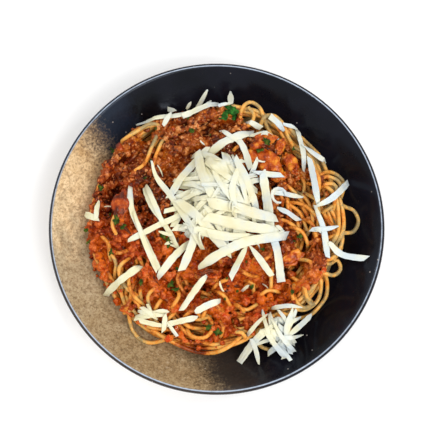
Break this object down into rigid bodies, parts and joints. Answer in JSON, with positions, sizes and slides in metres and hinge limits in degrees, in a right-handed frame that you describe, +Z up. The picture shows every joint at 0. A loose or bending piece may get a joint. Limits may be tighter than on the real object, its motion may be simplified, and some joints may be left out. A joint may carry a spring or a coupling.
{
  "type": "spaghetti bolognese in a bowl",
  "caption": "Round shallow stoneware pasta bowl holding a mound of spaghetti under meat sauce, topped with coarse grated cheese.",
  "frame": {"origin": "centre of the bowl's foot, on the surface that it stands on", "axes": "+Z up, +Y away from the diner, +X to the diner's right"},
  "size_m": [0.21, 0.21, 0.0537],
  "materials": {
    "reactive_glaze": "gloss",
    "pasta": "satin",
    "meat_sauce": "wet gloss",
    "tomato": "wet gloss",
    "cheese": "satin",
    "herb": "matte"
  },
  "bodies": {
    "root": {"bowl": "reactive_glaze", "spaghetti": "pasta", "meat_sauce": "meat_sauce", "tomato_01": "tomato", "tomato_02": "tomato", "tomato_03": "tomato", "cheese_heap": "cheese", "cheese_side_heap": "cheese", "cheese_shred_01": "cheese", "cheese_shred_02": "cheese", "cheese_shred_03": "cheese", "cheese_shred_04": "cheese", "cheese_shred_05": "cheese", "cheese_shred_06": "cheese", "cheese_shred_07": "cheese", "cheese_shred_08": "cheese", "cheese_shred_09": "cheese", "cheese_shred_10": "cheese", "cheese_shred_11": "cheese", "cheese_shred_12": "cheese", "cheese_shred_13": "cheese", "cheese_shred_14": "cheese", "cheese_shred_15": "cheese", "cheese_shred_16": "cheese", "cheese_shred_17": "cheese", "cheese_shred_18": "cheese"}
  },
  "joints": []
}
